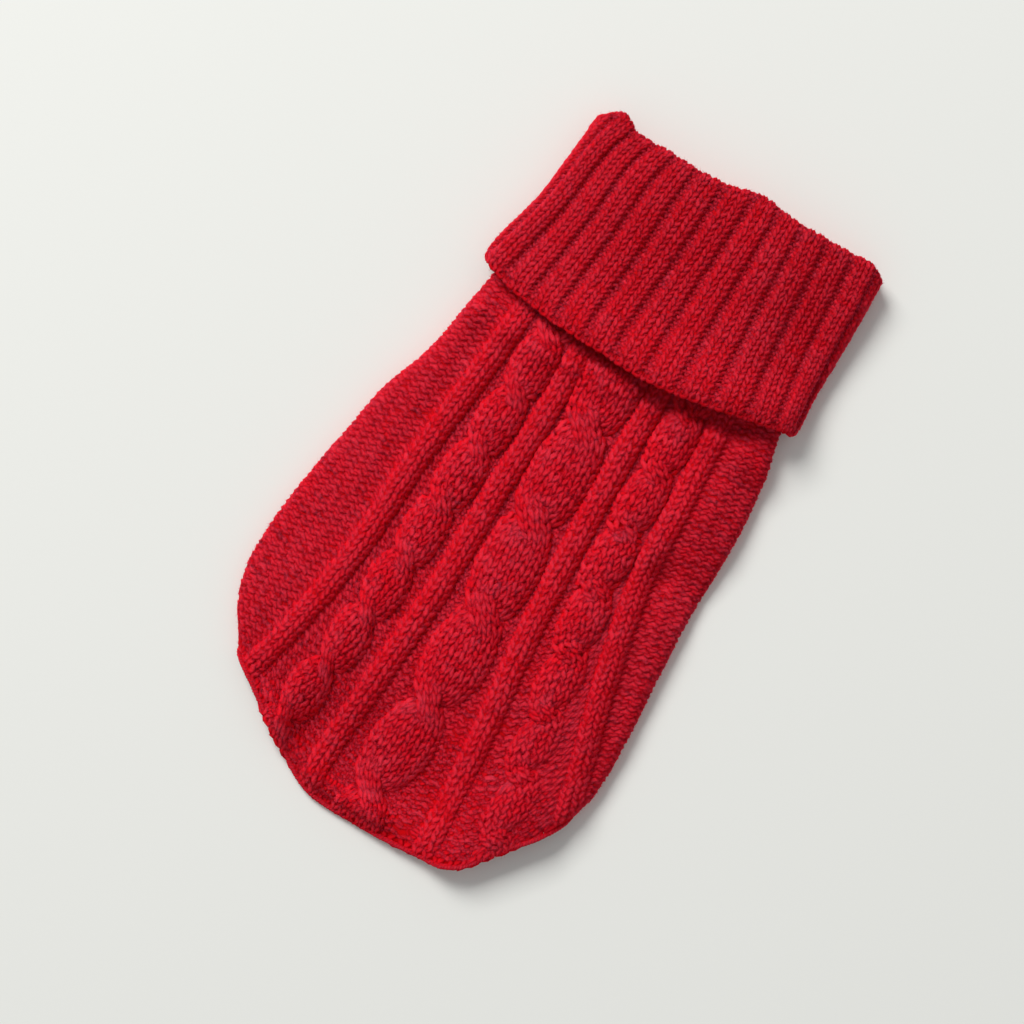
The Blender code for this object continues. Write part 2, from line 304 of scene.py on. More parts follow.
# the knitting's relief above the purl ground
relief = {
    "rib": 2.1,
    "groove": 0.35,  # between a rib's two wales
    "grooveWidth": 0.18,
    "square": 2.5,  # powers of its section
    "round": 0.7,
    "ribEdge": (0.98, 0.3),  # where its furrow starts, in half widths
    "panel": 0.7,  # the side panels
    "panelFrom": (0.7, 1.6),  # in wales from the outer ribs
    "besideShare": 0.6,
    "besideWales": 0.3,
    "narrowSink": 0.95,  # the purl furrows, squeezed shut near the neck
    "openSink": 0.2,  # and where they open out towards the hem
    "narrowFrom": (-120.0, 150.0),
    "pressedShare": 0.45,  # what is left of the relief under the collar
}


def gutterSink(y):
    more = relief["narrowSink"] - relief["openSink"]
    return relief["openSink"] + more * rise(y, *relief["narrowFrom"])


def ribRound(x):
    # a rib's section, x from -1 to 1 over its width: (1 - |x|^square)^round less a middle groove
    top = np.clip(1.0 - abs(x) ** relief["square"], 0.0, 1.0) ** relief["round"]
    return relief["rib"] * top - relief["groove"] * bell(x, relief["grooveWidth"])


def besideRib(wales, y):
    # the purl ground beside an outer rib: a furrow, then up to the side panel
    panel = rise(wales, *relief["panelFrom"])
    furrow = relief["besideShare"] * gutterSink(y) * ease(wales / relief["besideWales"])
    return relief["panel"] * panel - furrow * (1.0 - panel)


def relieved(raised, y):
    # the cloth's outer face above its inner one
    return cut["wall"] + raised * pressed(relief["pressedShare"], y)


def meshPiece(name, points, quads, caps=None, uv=None, fields=None):
    # quads are rows of 4 corners, caps rows of more; uv has a pair for each corner, in that order
    mesh = bpy.data.meshes.new(name)
    mesh.vertices.add(len(points))
    mesh.vertices.foreach_set("co", (points * mm).astype(np.float32).ravel())
    groups = [quads] + ([caps] if caps is not None and len(caps) else [])
    corners = np.concatenate([group.ravel() for group in groups]).astype(np.int32)
    sizes = np.concatenate([np.full(len(group), group.shape[1]) for group in groups])
    mesh.loops.add(len(corners))
    mesh.loops.foreach_set("vertex_index", corners)
    mesh.polygons.add(len(sizes))
    starts = np.concatenate([[0], np.cumsum(sizes)[:-1]])
    mesh.polygons.foreach_set("loop_start", starts.astype(np.int32))
    mesh.update(calc_edges=True)
    if uv is not None:
        layer = mesh.uv_layers.new(name="UVMap")
        layer.data.foreach_set("uv", uv.astype(np.float32).ravel())
    for key, values in (fields or {}).items():
        kind, member = ("FLOAT_VECTOR", "vector") if values.ndim == 2 else ("FLOAT", "value")
        field = mesh.attributes.new(key, kind, "POINT")
        field.data.foreach_set(member, values.astype(np.float32).ravel())
    mesh.validate()
    mesh.shade_smooth()
    piece = bpy.data.objects.new(name, mesh)
    bpy.context.scene.collection.objects.link(piece)
    return piece


# The yarn: its size, and how it lies in a stitch
stitch = {
    "radius": 1.16,
    "depth": 0.36,  # the loops swing this far to the front and back of the cloth
    "lean": 0.26,  # how far a loop's legs cross over, in wales
    "reach": 0.76,  # how far its head and foot go, in courses
    "shake": 0.09,  # unevenness of the hand
    "swell": 0.05,  # and of the yarn's thickness
    "ply": 3.2,  # a twist of its plies
    # short steps in which the cloth's directions are felt: up, and in wales and courses
    "upStep": 0.4,
    "waleStep": 0.3,
    "courseStep": 0.45,
    "alongShake": 0.8,  # share of the unevenness along a course
    "lowest": 0.02,  # of any point of it, above the surface
    "flattened": 0.55,  # how far it is pressed in where the back lies on the surface itself
}


def yarnPiece(name, runs, sides):
    # round tubes along many paths at once: ring point = centre + radius (cos a * side +
    # sin a * top). A run has centre, up and outward (rows, points, 3), and radius, keep, tone
    # and crown (rows, points)
    points, quads, caps, quadUv, capUv = [], [], [], [], []
    fields = {"tone": [], "crown": [], "outward": []}
    offset = 0
    turn = 2 * math.pi * np.arange(sides) / sides + math.pi / 2
    around = np.arange(sides)[None, :] / sides
    nextSide = np.roll(np.arange(sides), -1)
    for run in runs:
        centre = run["centre"]
        joined = run["keep"][:, :-1] & run["keep"][:, 1:]
        keep = np.zeros_like(run["keep"])  # a point without a neighbour has no yarn
        keep[:, :-1] |= joined
        keep[:, 1:] |= joined
        radius = run["radius"][:, :, None, None]
        tangent = unit(np.gradient(centre, axis=1))
        side = unit(np.cross(tangent, run["up"]))
        top = np.cross(side, tangent)
        ring = np.cos(turn)[:, None] * side[:, :, None] + np.sin(turn)[:, None] * top[:, :, None]
        kept = (centre[:, :, None] + radius * ring)[keep].reshape(-1, 3)
        kept[:, 2] = np.maximum(kept[:, 2], stitch["lowest"])
        points.append(kept)
        number = np.full((*keep.shape, sides), -1)
        number[keep] = np.arange(keep.sum() * sides).reshape(-1, sides) + offset
        offset += int(keep.sum()) * sides
        here, ahead = number[:, :-1][joined], number[:, 1:][joined]
        corners = [here, ahead, ahead[:, nextSide], here[:, nextSide]]
        quads.append(np.stack(corners, axis=-1).reshape(-1, 4))
        step = np.linalg.norm(np.diff(centre, axis=1, prepend=centre[:, :1]), axis=-1)
        length = step.cumsum(axis=1) / stitch["ply"]
        behind = length[:, :-1][joined][:, None] + 0 * around
        before = length[:, 1:][joined][:, None] + 0 * around
        u = np.stack([behind, before, before, behind], axis=-1)
        w = np.stack([around, around, around + 1 / sides, around + 1 / sides], axis=-1) + 0 * u
        quadUv.append(np.stack([u, w], axis=-1).reshape(-1, 2))
        first, last = keep.copy(), keep.copy()
        first[:, 1:] &= ~keep[:, :-1]
        last[:, :-1] &= ~keep[:, 1:]
        caps += [number[first], number[last][:, ::-1]]
        capUv += [np.repeat(length[first], sides), np.repeat(length[last], sides)]
        fields["tone"].append(np.repeat(run["tone"][keep], sides))
        # the crown also rises round the ring to its top side: painted highlight there, painted
        # shade beneath
        fields["crown"].append((run["crown"][keep][:, None] + 0.5 * np.sin(turn)[None, :]).ravel())
        fields["outward"].append(np.repeat(unit(run["outward"][keep]), sides, axis=0))
    capPairs = np.concatenate(capUv)
    uv = np.concatenate(quadUv + [np.stack([capPairs, np.zeros_like(capPairs)], axis=-1)])
    fields = {key: np.concatenate(values) for key, values in fields.items()}
    faces = np.concatenate(quads), np.concatenate(caps)
    return meshPiece(name, np.concatenate(points), *faces, uv, fields)


def stitchCourse(types, perStitch, rows, seed, shakeMore=1.0):
    # one stitch, t from -pi to pi: wale = t / 2 pi + lean sin 2t, course = -reach cos t,
    # height = -depth cos 2t times its side: 1 knit, whose legs are in front, or -1 purl
    types = np.array(types, float)
    count = len(types)
    q = np.arange(count * perStitch + 1) / perStitch
    t = 2 * math.pi * q - math.pi
    k = np.clip(np.floor(q - 0.25).astype(int), -1, count - 1)
    g = q - 0.25 - k
    padded = np.concatenate([types[:1], types, types[-1:]])
    ahead = padded[np.minimum(k + 2, count + 1)] - padded[k + 1]
    side = padded[k + 1] + ahead * np.clip(2 * g - 1, 0, 1)
    uneven = shakeMore * np.random.default_rng(seed).normal(0.0, 1.0, (4, rows, count + 2))
    i = np.clip(np.floor(q + 0.5).astype(int), 0, count)
    f = q + 0.5 - i
    shake = uneven[:, :, i] * (1 - f) + uneven[:, :, np.minimum(i + 1, count + 1)] * f
    u = q + stitch["lean"] * np.sin(2 * t) + stitch["shake"] * stitch["alongShake"] * shake[0]
    v = -stitch["reach"] * np.cos(t) + stitch["shake"] * shake[1]
    z = -stitch["depth"] * np.cos(2 * t) * side + stitch["shake"] * shake[2]
    # crown runs from the loop's back to its front: painted shade behind, painted highlight in front
    return {"u": u, "v": v, "z": z, "tone": shake[3], "crown": 0.5 * z / stitch["depth"]}


def runAlong(place, face, u, v, height, course, radius, keep=None):
    # the yarn's centre line, with the cloth's own normal there, ribs and cables included: the cross
    # product of short steps along the face's two directions
    centre = place(u, v, height)
    up = unit(place(u, v, height + stitch["upStep"]) - centre)
    wale, row = stitch["waleStep"], stitch["courseStep"]
    along = face(u + wale, v) - face(u - wale, v)
    outward = unit(np.cross(along, face(u, v + row) - face(u, v - row)))
    outward = outward * np.sign(np.sum(outward * up, axis=-1, keepdims=True))
    return {
        "centre": centre,
        "up": up,
        "outward": outward,
        "radius": np.broadcast_to(radius, u.shape) * (1.0 + stitch["swell"] * course["tone"]),
        "keep": np.ones(u.shape, bool) if keep is None else keep,
        "tone": np.broadcast_to(course["tone"], u.shape),
        "crown": np.broadcast_to(course["crown"], u.shape),
    }


def yarnHeight(outer, v, y, course):
    # the yarn's middle lies inside the face; past the belly's hem it stays on the surface
    height = (outer - stitch["depth"] - stitch["radius"]) * hemRoll(v) + course["z"]
    least = stitch["radius"] - stitch["flattened"]
    return np.where(y < cut["underHemY"] - cut["flatPast"], np.maximum(height, least), height)


knit, purl = 1, -1
firstCourse = 3  # the courses above it are inside the collar
waleWidth = 4.5
leftWales, rightWales = 16, 14  # of purl, from each outer rib round the side to its seam


def panelOffset(wales):
    # a side panel's width from its rib's middle, in the rib's half widths
    return 1.0 + wales * waleWidth / bands[0]["half"]


# Strips of the back between the cables: knots are (wale, band, offset in half widths), then each
# wale's side, the wales of its rib, and the side of its seam
strips = [
    {
        "knots": [
            (0, 0, -panelOffset(leftWales)), (16, 0, -1.0), (18, 0, 1.0), (20, 1, -1.0),
            (21, 1, -0.55),
        ],
        "types": [purl] * leftWales + [knit] * 2 + [purl] * 3,
        "rib": (16, 18),
        "seam": -1.0,
    },
    {
        "knots": [
            (0, 1, 0.55), (1, 1, 1.0), (3, 2, -1.0), (5, 2, 1.0), (7, 3, -1.0), (9, 3, -0.42),
        ],
        "types": [purl] * 3 + [knit] * 2 + [purl] * 4,
        "rib": (3, 5),
        "seam": 0.0,
    },
    {
        "knots": [
            (0, 3, 0.42), (2, 3, 1.0), (4, 4, -1.0), (6, 4, 1.0), (8, 5, -1.0), (9, 5, -0.55),
        ],
        "types": [purl] * 4 + [knit] * 2 + [purl] * 3,
        "rib": (4, 6),
        "seam": 0.0,
    },
    {
        "knots": [
            (0, 5, 0.55), (1, 5, 1.0), (3, 6, -1.0), (5, 6, 1.0), (19, 6, panelOffset(rightWales)),
        ],
        "types": [purl] * 3 + [knit] * 2 + [purl] * rightWales,
        "rib": (3, 5),
        "seam": 1.0,
    },
]


def stripRaised(strip, u, y):
    # the rib stands up round, the furrows beside it sink, and the side panels lie a little higher
    first, last = strip["rib"]
    x = (u - (first + last) / 2) / ((last - first) / 2)
    beside = -gutterSink(y) * rise(abs(x), *relief["ribEdge"])
    if strip["seam"]:
        out = strip["seam"] * x
        beside = np.where(out > 0, besideRib(out - 1.0, y), beside)
    return ribRound(x) + beside


def stripSpot(strip, u, v):
    # a point of a strip: its wale gives the place on the hem, that the course's y, and both
    # the distance across
    y = courseY(hemAcross(strip["knots"], u), v)
    return acrossAt(strip["knots"], u, y), y


def stripOuter(strip, u, across, y):
    return relieved(stripRaised(strip, u, y) * foldFade(across, y), y)


def stripRun(strip, wales, perStitch, seed):
    # courses across a strip, cut off just inside its seam
    first, last = wales
    course = stitchCourse(strip["types"][first:last], perStitch, cut["courses"] - firstCourse, seed)
    u = course["u"] + first
    v = np.arange(firstCourse, cut["courses"])[:, None] + 0.5 + course["v"]
    across, y = stripSpot(strip, u, v)

    def place(u, v, height):
        return bodyPoint(*stripSpot(strip, u, v), height)

    def face(u, v):
        across, y = stripSpot(strip, u, v)
        return bodyPoint(across, y, stripOuter(strip, u, across, y) * hemRoll(v))

    keep = None
    if strip["seam"]:
        outside = strip["seam"] * (seamAcross(strip["seam"], y) - across) <= cut["yarnIn"]
        if strip["seam"] > 0:
            keep = np.cumsum(outside, axis=1) == 0
        else:
            keep = np.cumsum(outside[:, ::-1], axis=1)[:, ::-1] == 0
    height = yarnHeight(stripOuter(strip, u, across, y), v, y, course)
    return runAlong(place, face, u, v, height, course, stitch["radius"], keep)


cable = {
    "raise": 3.35,
    "pinch": 0.52,  # share of the height that a crossing loses
    "broad": 1.12,  # an oval's widest place
    "waist": 0.38,  # share of the width that a crossing loses near the neck
    "waistMore": 0.24,  # and this much more towards the hem, where the furrows stand open
    "waistFrom": (34.0, 18.0),
    "fadeFrom": (30.0, 20.0),
    "crossing": 0.2,  # share of a repeat that a crossing takes, each way
    "over": 0.7,
    "under": 2.0,
    "rounding": 0.5,
    "dent": 2.2,  # beside each crossing, deepest on the right
    "dentLength": 0.09,
    "dentRight": (0.95, 0.35),
    "dentLeft": (-1.0, 0.3),
    "dentLeftShare": 0.5,
    "domePower": 0.55,  # powers of an oval's section, of its height along it and of its outline
    "swellPower": 0.8,
    "outlinePower": 0.75,
    "step": 0.1,  # in courses, over which a strand's swing is felt
    "tilt": 0.75,  # how far a strand's courses turn with it
    "widen": 0.3,
    "courseHeight": 3.45,
    "edge": (0.86, 0.2),
    "yarn": 0.97,
}


def strandAt(band, strand, v):
    # two strands swap places at each crossing: side = sin(pi/2 s), where s runs from -1 to 1 over
    # the crossing, and the one that goes from left to right is in front
    turn = (v - bands[band]["first"]) / bands[band]["repeat"]
    number = np.round(turn)
    swap = np.where(number % 2 == 0, 1.0, -1.0) * strand
    s = np.clip((turn - number) / cable["crossing"], -1.0, 1.0)
    return turn, swap * np.sin(math.pi / 2 * s), swap * np.cos(math.pi / 2 * s) ** 2


def cableHeight(band, x, v):
    # an oval between two crossings: round across, (1 - x^2)^domePower, and along it
    # |sin|^swellPower of its half turn, less the dents beside the crossings
    turn = (v - bands[band]["first"]) / bands[band]["repeat"]
    dome = np.clip(1.0 - x ** 2, 0.0, 1.0) ** cable["domePower"]
    along = abs(np.sin(math.pi * turn)) ** cable["swellPower"]
    swell = 1.0 - cable["pinch"] + cable["pinch"] * along
    (right, rightWidth), (left, leftWidth) = cable["dentRight"], cable["dentLeft"]
    sides = bell(x - right, rightWidth) + cable["dentLeftShare"] * bell(x - left, leftWidth)
    dent = bell(turn - np.round(turn), cable["dentLength"]) * sides
    kept = 1.0 - bands[band]["fade"] * rise(v, *cable["fadeFrom"])
    return (cable["raise"] * dome * swell - cable["dent"] * dent) * kept


def cableHalf(band, v):
    # an oval's outline: its half width is broad - waist (1 - |sin|^outlinePower)
    turn = (v - bands[band]["first"]) / bands[band]["repeat"]
    swell = abs(np.sin(math.pi * turn)) ** cable["outlinePower"]
    waist = cable["waist"] + cable["waistMore"] * rise(v, *cable["waistFrom"])
    return bands[band]["half"] * (cable["broad"] - waist * (1.0 - swell))


def strandSpot(band, strand, u, v):
    # distance from the cable's middle and y: a strand's courses stay nearly square to its path
    count = bands[band]["wales"] // 2
    turn, side, over = strandAt(band, strand, v)
    half = cableHalf(band, v)
    strandHalf = half / 2 * (1.0 + cable["widen"] * abs(over))
    lateral = (u - count / 2) / (count / 2) * strandHalf
    step = cable["step"]
    swing = strandAt(band, strand, v + step)[1] - strandAt(band, strand, v - step)[1]
    swing = swing / (2 * step) * half / 2
    angle = cable["tilt"] * np.arctan(swing / cable["courseHeight"])
    offset = side * half / 2 + lateral * np.cos(angle)
    y = courseY(bands[band]["at"][-1] + offset, v - lateral * np.sin(angle) / cable["courseHeight"])
    return offset, y, over, half, lateral / strandHalf


def strandOuter(band, spot, v):
    # the oval, with the strand in front raised and the one behind sunk at a crossing
    offset, y, over, half, aside = spot
    crossed = np.where(over > 0, cable["over"] * over, cable["under"] * over)
    rounding = cable["rounding"] * (1.0 - aside ** 2) * abs(over)
    sink = gutterSink(y) * rise(abs(offset) / half, *cable["edge"])
    return relieved(cableHeight(band, offset / half, v) + crossed + rounding - sink, y)


def strandRun(band, strand, perStitch, seed):
    # courses across one strand of a cable
    types = [knit] * (bands[band]["wales"] // 2)
    course = stitchCourse(types, perStitch, cut["courses"] - firstCourse, seed, 1.5)
    v = np.arange(firstCourse, cut["courses"])[:, None] + 0.5 + course["v"]
    u = course["u"] + 0 * v

    def place(u, v, height):
        offset, y = strandSpot(band, strand, u, v)[:2]
        return bodyPoint(bandCentre(band, y) + offset, y, height)

    def face(u, v):
        spot = strandSpot(band, strand, u, v)
        height = strandOuter(band, spot, v) * hemRoll(v)
        return bodyPoint(bandCentre(band, spot[1]) + spot[0], spot[1], height)

    spot = strandSpot(band, strand, u, v)
    height = yarnHeight(strandOuter(band, spot, v), v, spot[1], course)
    return runAlong(place, face, u, v, height, course, stitch["radius"] * cable["yarn"])


belly = {"wales": 21, "seamGap": 0.3, "inset": 0.2}


def bellyPlace(u, v, height):
    # flat beneath the back: straight across between the side seams, which open round the legs
    y = cut["neckY"] + (cut["underHemY"] - cut["neckY"]) * v / cut["bellyCourses"]
    left = curve(seamLines, y, 1) + legGap(y) + belly["seamGap"]
    right = curve(seamLines, y, 2) - legGap(y) - belly["seamGap"]
    x = left + (right - left) * u / belly["wales"]
    return np.stack([x, y, restHeight(y) + cut["wall"] - height], axis=-1)


def bellyRun(perStitch, seed):
    rows = np.arange(firstCourse, cut["bellyCourses"])[:, None]
    course = stitchCourse([purl] * belly["wales"], perStitch, len(rows), seed)
    v = rows + 0.5 + course["v"]
    u = np.clip(course["u"], belly["inset"], belly["wales"] - belly["inset"]) + 0 * v
    height = cut["wall"] - stitch["depth"] - stitch["radius"] + course["z"]

    def face(u, v):
        return bellyPlace(u, v, cut["wall"])

    return runAlong(bellyPlace, face, u, v, height, course, stitch["radius"])


# The collar: one ribbed tube, folded down over itself. w counts courses from the outer edge.
collar = {
    "thick": 15.0,
    "ribs": 24,
    "ribsBefore": 6.0,  # ribs counted back from the front's first furrow, round the left side
    "sideMost": 0.99,  # how far round a side the front's furrows may lie
    "ribbing": 3.4,
    "fold": 3.55,  # the top fold's radius, to the ribbing's middle
    "foldCourses": 29,
    "overCourses": 3,
    "insideCourses": 3,  # knitted out past the fold; the rest of the inside doesn't show
    "liningCourses": 22,
    "yarn": 0.95,
    "purlSink": 1.6,
    "purlShare": 0.16,  # of a rib, on each side
    "purlFrom": (0.6, 0.26),
    "shoulder": 0.4,  # how far a rib's own round falls before its furrow
    "groove": 0.3,
    "grooveWidth": 0.14,
    "rim": 2.6,  # courses over which the furrows close and the edge rolls in
    "rimRoll": 0.75,
    "rimPast": 0.6,  # and by how many the roll stops short of a full quarter round
    "rimOpen": 0.25,  # share of their depth that the furrows keep at the edge
    "topClose": 0.9,  # and share that they lose at the fold
    "topFrom": (25.5, 5.0),  # courses over which they close again towards the fold
    "crown": 3.2,  # the layers beneath hold the front's middle up
    "crownLeft": (-62.0, 56.0),
    "crownRight": (90.0, -48.0),
    "rearLift": 4.0,
    "liftCourses": (9.0, -9.0),
    "liftTurn": 1.5,  # the lift goes this far round the top fold, in radians
    "lowY": 70.0,  # the levels at which the folds and the edge are read from their tables
    "midY": 104.0,
    "highY": 142.0,
    "span": (62.0, 148.0),
}
# y, left x, right x
collarOutline = [
    (148, -47.6, 84.0), (122, -50.6, 83.8), (104, -53.4, 83.4), (85, -59.0, 82.6),
    (60, -64.0, 84.4),
]
# x, y
collarTop = [
    (-48, 146.4), (-41, 150.2), (-33, 146.4), (-18, 145.2), (12, 145.0), (25, 147.6),
    (38, 145.6), (66, 145.0), (78, 145.0), (84, 142.8),
]
collarEdge = [
    (-62, 74.0), (-46, 68.8), (-28, 65.0), (0, 62.4), (20, 61.2), (44, 63.8), (66, 68.2),
    (84, 70.8),
]
# the front's furrows, from left to right: x at each furrowY
furrowY = (147.0, 137.6, 105.6, 73.6)
furrows = [
    (-40.6, -44.0, -50.4, -60.6), (-30.0, -34.4, -40.2, -47.8), (-20.0, -24.4, -29.4, -35.0),
    (-10.8, -14.0, -18.6, -22.8), (-1.4, -3.0, -5.8, -9.4), (10.6, 10.0, 7.4, 3.8),
    (22.6, 22.4, 20.2, 18.2), (33.6, 33.8, 33.0, 32.2), (44.8, 45.0, 45.8, 46.6),
    (56.2, 56.8, 58.2, 60.6), (67.6, 68.6, 70.2, 72.6), (78.4, 79.6, 80.4, 81.4),
]
# how far the front's edge stands off the body: x, height
rimLift = [
    (-62, 0.0), (-34, 1.2), (-8, 4.2), (12, 5.6), (30, 6.6), (46, 6.0), (64, 4.4), (82, 1.8),
]
# soft creases in the front: x, y, turn, length, width, depth
collarCreases = [
    (-34.0, 128.0, 60.0, 40.0, 6.0, 0.7),
    (18.0, 118.0, 80.0, 70.0, 7.0, 0.5),
    (66.0, 108.0, 88.0, 60.0, 10.0, 1.4),
    (40.0, 101.0, 0.0, 116.0, 19.0, 3.2),
    (-44.0, 92.0, 66.0, 34.0, 6.0, 0.5),
    (44.0, 84.0, 4.0, 60.0, 7.0, 0.4),
    (88.0, 105.0, 90.0, 120.0, 22.0, 1.4),
]


def collarEnds(y):
    half = collar["thick"] / 2
    return curve(collarOutline, y, 1) + half, curve(collarOutline, y, 2) - half


def roundFromX(x, y):
    # distance round the flattened tube from the left end of its flat front, for a front point
    half = collar["thick"] / 2
    left, right = collarEnds(y)
    most = collar["sideMost"]
    before = half * np.arcsin(np.clip((x - left) / half, -most, 0.0))
    after = right - left + half * np.arcsin(np.clip((x - right) / half, 0.0, most))
    return np.where(x < left, before, np.where(x > right, after, x - left))


def collarRound(p, y):
    # where rib p lies round the tube: by the furrows' table in front, evenly spaced at the rear
    y = np.clip(y, *collar["span"])
    left, right = collarEnds(y)
    whole = 2 * (right - left) + math.pi * collar["thick"]
    p = np.mod(p + collar["ribsBefore"], collar["ribs"]) - collar["ribsBefore"]
    marks = [roundFromX(curve(list(zip(furrowY, row)), y), y) for row in furrows]
    last = len(furrows) - 1
    gap = (marks[0] + whole - marks[last]) / (collar["ribs"] - last)
    at = np.where(p < 0, marks[0] + gap * p, marks[last] + gap * (p - last))
    for k in range(last):
        inside = (p >= k) & (p < k + 1)
        at = np.where(inside, marks[k] + (marks[k + 1] - marks[k]) * (p - k), at)
    return at


def collarSection(at, depth, y):
    # flat front, half round side, flat rear, half round side
    half = collar["thick"] / 2
    left, right = collarEnds(y)
    flat, turn = right - left, math.pi * half
    at = np.mod(at + turn / 2, 2 * (flat + turn)) - turn / 2
    onRight = np.clip((at - flat) / turn, 0.0, 1.0)
    onLeft = np.clip((at - 2 * flat - turn) / turn, 0.0, 1.0)
    early = np.clip(at / turn, -0.5, 0.0)
    angle = math.pi * (onRight + onLeft + early)
    middle = left + np.clip(at, 0.0, flat) - np.clip(at - flat - turn, 0.0, flat)
    return middle + (half - depth) * np.sin(angle), half + (half - depth) * np.cos(angle)


def collarLevel(p, y):
    y = np.full(p.shape, y)
    return collarSection(collarRound(p, y), 0.0, y)


def collarPlace(p, w, height):
    # up the outer fold, round the top in a half circle, and down inside; height is outwards from
    # the ribbing's middle, and the front is lifted by its crown, its creases and the stand of its
    # edge. Where that sinks it, the layers beneath sink with it, each in proportion to its height
    midZ = collarLevel(p, collar["midY"])[1]
    top = curve(collarTop, collarLevel(p, collar["highY"])[0]) - collar["fold"]
    rear = ease(1.0 - 2.0 * midZ / collar["thick"])
    edge = curve(collarEdge, collarLevel(p, collar["lowY"])[0]) + collar["rearLift"] * rear
    bend = collar["fold"] - collar["ribbing"] / 2 + height
    turn = np.clip((w - collar["foldCourses"]) / collar["overCourses"], 0.0, 1.0) * math.pi
    inside = np.maximum(w - collar["foldCourses"] - collar["overCourses"], 0.0)
    down = (top - edge) / collar["foldCourses"]
    y = edge + down * np.minimum(w, collar["foldCourses"]) + bend * np.sin(turn) - down * inside
    depth = collar["fold"] - bend * np.cos(turn)
    x, z = collarSection(collarRound(p, y), depth, np.clip(y, *collar["span"]))
    onFront = ease(2 * np.clip(midZ / collar["thick"], 0.0, 1.0) - 1) * (turn < collar["liftTurn"])
    lifted = curve(rimLift, x) * rise(w, *collar["liftCourses"])
    crown = collar["crown"] * rise(x, *collar["crownLeft"]) * rise(x, *collar["crownRight"])
    moved = troughs(collarCreases, x, y) + lifted + crown
    squeezed = np.minimum(moved, 0.0) * (1.0 - onFront) * z / collar["thick"]
    return np.stack([x, y, z + moved * onFront + squeezed], axis=-1)


def ribSide(u):
    # four wales to a rib: half a purl furrow, two wide knit wales, half a furrow; share is from
    # 0 to 1 over the rib
    whole = np.floor(u / 4.0)
    margin = collar["purlShare"]
    return whole, np.interp(u - 4.0 * whole, [0.0, 1.0, 3.0, 4.0], [0.0, margin, 1.0 - margin, 1.0])


def ribHeight(share, w):
    # the rib's outer face above the ribbing's middle: a flat-topped round with a groove down the
    # middle, while the furrows close up at the fold and at the edge, where the cloth rolls in a
    # quarter round
    x = 2.0 * share - 1.0
    furrow = (collar["purlSink"] - collar["shoulder"]) * rise(abs(x), *collar["purlFrom"])
    fall = collar["shoulder"] * x * x + furrow
    opening = (1.0 - collar["rimOpen"]) * ease(w / collar["rim"])
    opened = collar["rimOpen"] + opening * (1.0 - collar["topClose"] * rise(w, *collar["topFrom"]))
    past = np.clip((collar["rim"] - w) / (collar["rim"] + collar["rimPast"]), 0.0, rollStop)
    roll = collar["ribbing"] * collar["rimRoll"] * (1.0 - np.sqrt(1.0 - past * past))
    groove = collar["groove"] * bell(x, collar["grooveWidth"])
    return collar["ribbing"] / 2 - fall * opened - groove - roll


def ribPlace(u, w, height):
    whole, share = ribSide(u)
    return collarPlace(whole + share, w, height)


def ribFace(u, w):
    return ribPlace(u, w, ribHeight(ribSide(u)[1], w))


def collarRun(wales, perStitch, seed):
    # courses round a part of the collar, counted in wales from the front's first furrow
    first, last = wales
    types = [(purl, knit, knit, purl)[k % 4] for k in range(first, last)]
    total = collar["foldCourses"] + collar["overCourses"] + collar["insideCourses"]
    course = stitchCourse(types, perStitch, total, seed)
    w = np.arange(total)[:, None] + 0.5 - course["v"]
    u = course["u"] + first + 0 * w
    height = ribHeight(ribSide(u)[1], w) - stitch["depth"] - collar["yarn"] + course["z"]
    return runAlong(ribPlace, ribFace, u, w, height, course, collar["yarn"])


# The cloth behind the stitches closes what shows between them
shell = {
    "below": 0.88,  # how far it lies inside the face
    "belowCable": 0.6,  # and this much more in a cable
    "thick": 0.6,
    "rows": 78,
    "cableEdge": (0.8, 0.15),
    "lowest": (0.35, 0.05),  # of its outer and its inner face, above the surface
    # the back's columns: near an outer rib, on to the seam, and over a band and up to the next
    "nearRib": (1, 9, 28),
    "toSeam": (0.32, 1.0, 11),
    "overBand": (0.0, 0.06, 0.14, 0.28, 0.5, 0.72, 0.86, 0.94, 1.0, 1.2, 1.8),
    "pastHem": 0.15,  # courses
    "bellyInset": 0.1,
    "bellyShort": 0.3,
    "bellyGrid": (12, 60),
    # the collar's columns over a rib, and its courses: at the edge, up the outside, over the top
    # and down
    "overRib": (0.0, 0.07, 0.13, 0.2, 0.36, 0.5, 0.64, 0.8, 0.87, 0.93),
    "atEdge": (0.3, 1.0, 2.0, 3.2),
    "up": (0.4, 1.0, 18),
    "upFrom": 4.0,
    "over": (0.6, 5),
    "down": (1.0, 8),
}


def clothPiece(name, outer, inner, around=False):
    # a closed thin wall: two grids of points joined round their rims, or two tubes of rings
    rows, columns = outer.shape[:2]
    count = rows * columns
    number = np.arange(count).reshape(rows, columns)
    right = np.roll(number, -1, axis=1) if around else number[:, 1:]
    left = number if around else number[:, :-1]
    faces = [np.stack([left[:-1], left[1:], right[1:], right[:-1]], axis=-1).reshape(-1, 4)]
    faces.append(faces[0][:, ::-1] + count)
    if around:
        for row, turn in ((0, 1), (-1, -1)):
            corners = [number[row], right[row], right[row] + count, number[row] + count]
            faces.append(np.stack(corners, axis=-1)[:, ::turn])
    else:
        rim = np.concatenate([number[0, :-1], number[:-1, -1], number[-1, :0:-1], number[:0:-1, 0]])
        after = np.roll(rim, -1)
        faces.append(np.stack([rim, after, after + count, rim + count], axis=-1))
    points = np.concatenate([outer.reshape(-1, 3), inner.reshape(-1, 3)])
    points[:, 2] = np.maximum(points[:, 2], np.repeat(shell["lowest"], count))
    return meshPiece(name, points, np.concatenate(faces))


